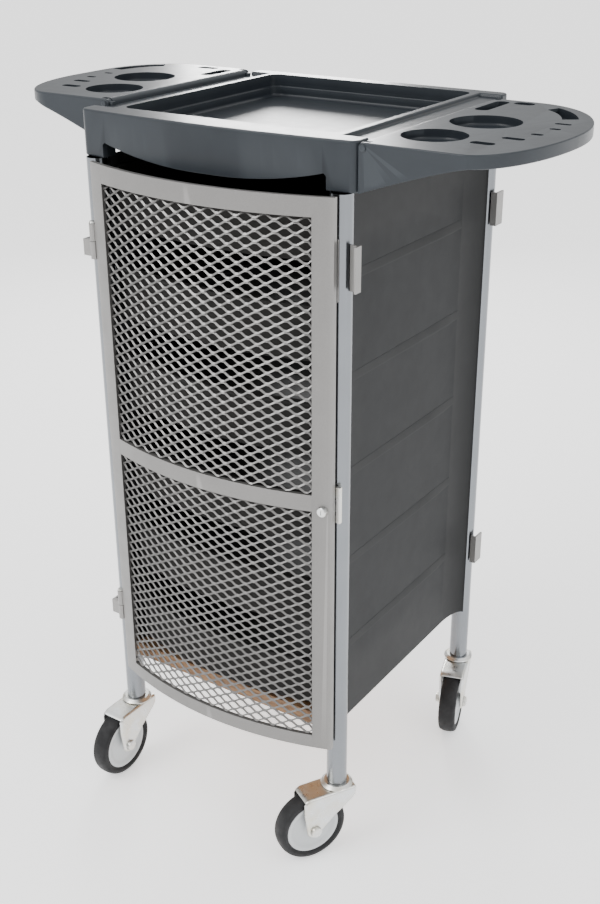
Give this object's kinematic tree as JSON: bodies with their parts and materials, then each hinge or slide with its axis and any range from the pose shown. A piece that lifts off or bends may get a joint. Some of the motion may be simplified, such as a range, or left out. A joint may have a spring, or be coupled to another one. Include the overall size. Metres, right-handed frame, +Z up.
{
  "type": "salon roller trolley",
  "caption": "Tall hairdresser's roller trolley on swivel castors: moulded top tray with fold-up wings, hanging drawers and a bowed mesh door in a tubular frame.",
  "frame": {"origin": "on the floor under the middle of the overall box", "axes": "+X to the trolley's right hand side seen from the door, +Y to the rear, +Z up; the mesh door faces -Y"},
  "size_m": [0.7, 0.44, 0.895],
  "materials": {
    "post_tube": "satin bright tube",
    "door_steel": "satin silver",
    "mesh_steel": "satin silver expanded mesh",
    "tray_plastic": "dark grey moulded, semi gloss",
    "panel_plastic": "black, fine grain",
    "drawer_plastic": "black",
    "zinc_plate": "bright zinc plate",
    "tyre_rubber": "dark grey",
    "hub_plastic": "light grey",
    "board_wood": "orange brown board edge"
  },
  "bodies": {
    "frame": {"post_FL": "post_tube", "post_FR": "post_tube", "post_RL": "post_tube", "post_RR": "post_tube", "top_tray": "tray_plastic", "side_panel_L": "panel_plastic", "side_panel_R": "panel_plastic", "base_board": "board_wood", "rear_bar": "post_tube", "wing_pin_L_front": "tray_plastic", "wing_pin_L_rear": "tray_plastic", "wing_pin_R_front": "tray_plastic", "wing_pin_R_rear": "tray_plastic", "hinge_clip_lower": "door_steel", "hinge_pin_lower": "zinc_plate", "rear_clip_lower": "door_steel", "hinge_clip_upper": "door_steel", "hinge_pin_upper": "zinc_plate", "rear_clip_upper": "door_steel", "lock_keeper": "zinc_plate", "strike_clip": "door_steel", "strike_fold": "door_steel", "castor_cup_FL": "zinc_plate", "castor_cup_FR": "zinc_plate", "castor_cup_RL": "zinc_plate", "castor_cup_RR": "zinc_plate"},
    "door": {"door_frame": "door_steel", "door_mesh_lower": "mesh_steel", "door_mesh_upper": "mesh_steel", "hinge_leaf_lower": "door_steel", "hinge_leaf_upper": "door_steel"},
    "lock": {"lock_cylinder": "zinc_plate", "lock_cam": "zinc_plate"},
    "drawer_1": {"drawer_1": "drawer_plastic"},
    "drawer_2": {"drawer_2": "drawer_plastic"},
    "drawer_3": {"drawer_3": "drawer_plastic"},
    "drawer_4": {"drawer_4": "drawer_plastic"},
    "drawer_5": {"drawer_5": "drawer_plastic"},
    "drawer_6": {"drawer_6": "drawer_plastic"},
    "wing_left": {"wing_L": "tray_plastic"},
    "wing_right": {"wing_R": "tray_plastic"},
    "fork_FL": {"castor_fork_FL": "zinc_plate", "castor_axle_FL": "zinc_plate"},
    "wheel_FL": {"castor_tyre_FL": "tyre_rubber", "castor_hub_FL": "hub_plastic"},
    "fork_FR": {"castor_fork_FR": "zinc_plate", "castor_axle_FR": "zinc_plate"},
    "wheel_FR": {"castor_tyre_FR": "tyre_rubber", "castor_hub_FR": "hub_plastic"},
    "fork_RL": {"castor_fork_RL": "zinc_plate", "castor_axle_RL": "zinc_plate"},
    "wheel_RL": {"castor_tyre_RL": "tyre_rubber", "castor_hub_RL": "hub_plastic"},
    "fork_RR": {"castor_fork_RR": "zinc_plate", "castor_axle_RR": "zinc_plate"},
    "wheel_RR": {"castor_tyre_RR": "tyre_rubber", "castor_hub_RR": "hub_plastic"}
  },
  "joints": [
    {"name": "door_swing", "type": "hinge", "parent": "frame", "child": "door", "pos_m": [-0.1585, -0.15696, 0.45], "axis": [0, 0, -1], "range_deg": [0, 110]},
    {"name": "lock_turn", "type": "hinge", "parent": "door", "child": "lock", "pos_m": [0.159, -0.14996, 0.49], "axis": [0, 1, 0], "range_deg": [0, 180]},
    {"name": "drawer_1_slide", "type": "slide", "parent": "frame", "child": "drawer_1", "axis": [0, 1, 0], "range_m": [0, 0.24]},
    {"name": "drawer_2_slide", "type": "slide", "parent": "frame", "child": "drawer_2", "axis": [0, 1, 0], "range_m": [0, 0.24]},
    {"name": "drawer_3_slide", "type": "slide", "parent": "frame", "child": "drawer_3", "axis": [0, 1, 0], "range_m": [0, 0.24]},
    {"name": "drawer_4_slide", "type": "slide", "parent": "frame", "child": "drawer_4", "axis": [0, 1, 0], "range_m": [0, 0.24]},
    {"name": "drawer_5_slide", "type": "slide", "parent": "frame", "child": "drawer_5", "axis": [0, 1, 0], "range_m": [0, 0.24]},
    {"name": "drawer_6_slide", "type": "slide", "parent": "frame", "child": "drawer_6", "axis": [0, 1, 0], "range_m": [0, 0.24]},
    {"name": "wing_left_fold", "type": "hinge", "parent": "frame", "child": "wing_left", "pos_m": [-0.1875, 0.03004, 0.8895], "axis": [0, 1, 0], "range_deg": [0, 90]},
    {"name": "wing_right_fold", "type": "hinge", "parent": "frame", "child": "wing_right", "pos_m": [0.1875, 0.03004, 0.886], "axis": [0, -1, 0], "range_deg": [0, 90]},
    {"name": "swivel_FL", "type": "hinge", "parent": "frame", "child": "fork_FL", "pos_m": [-0.163, -0.13596, 0.0965], "axis": [0, 0, 1], "continuous": true},
    {"name": "wheel_FL_spin", "type": "hinge", "parent": "fork_FL", "child": "wheel_FL", "pos_m": [-0.16366, -0.17396, 0.046], "axis": [-0.9998, 0.0175, 0], "continuous": true},
    {"name": "swivel_FR", "type": "hinge", "parent": "frame", "child": "fork_FR", "pos_m": [0.163, -0.13596, 0.0965], "axis": [0, 0, 1], "continuous": true},
    {"name": "wheel_FR_spin", "type": "hinge", "parent": "fork_FR", "child": "wheel_FR", "pos_m": [0.144, -0.16887, 0.046], "axis": [-0.866, 0.5, 0], "continuous": true},
    {"name": "swivel_RL", "type": "hinge", "parent": "frame", "child": "fork_RL", "pos_m": [-0.163, 0.19604, 0.0965], "axis": [0, 0, 1], "continuous": true},
    {"name": "wheel_RL_spin", "type": "hinge", "parent": "fork_RL", "child": "wheel_RL", "pos_m": [-0.1696, 0.15862, 0.046], "axis": [-0.9848, 0.1736, 0], "continuous": true},
    {"name": "swivel_RR", "type": "hinge", "parent": "frame", "child": "fork_RR", "pos_m": [0.163, 0.19604, 0.0965], "axis": [0, 0, 1], "continuous": true},
    {"name": "wheel_RR_spin", "type": "hinge", "parent": "fork_RR", "child": "wheel_RR", "pos_m": [0.17411, 0.1597, 0.046], "axis": [-0.9563, -0.2924, 0], "continuous": true}
  ]
}
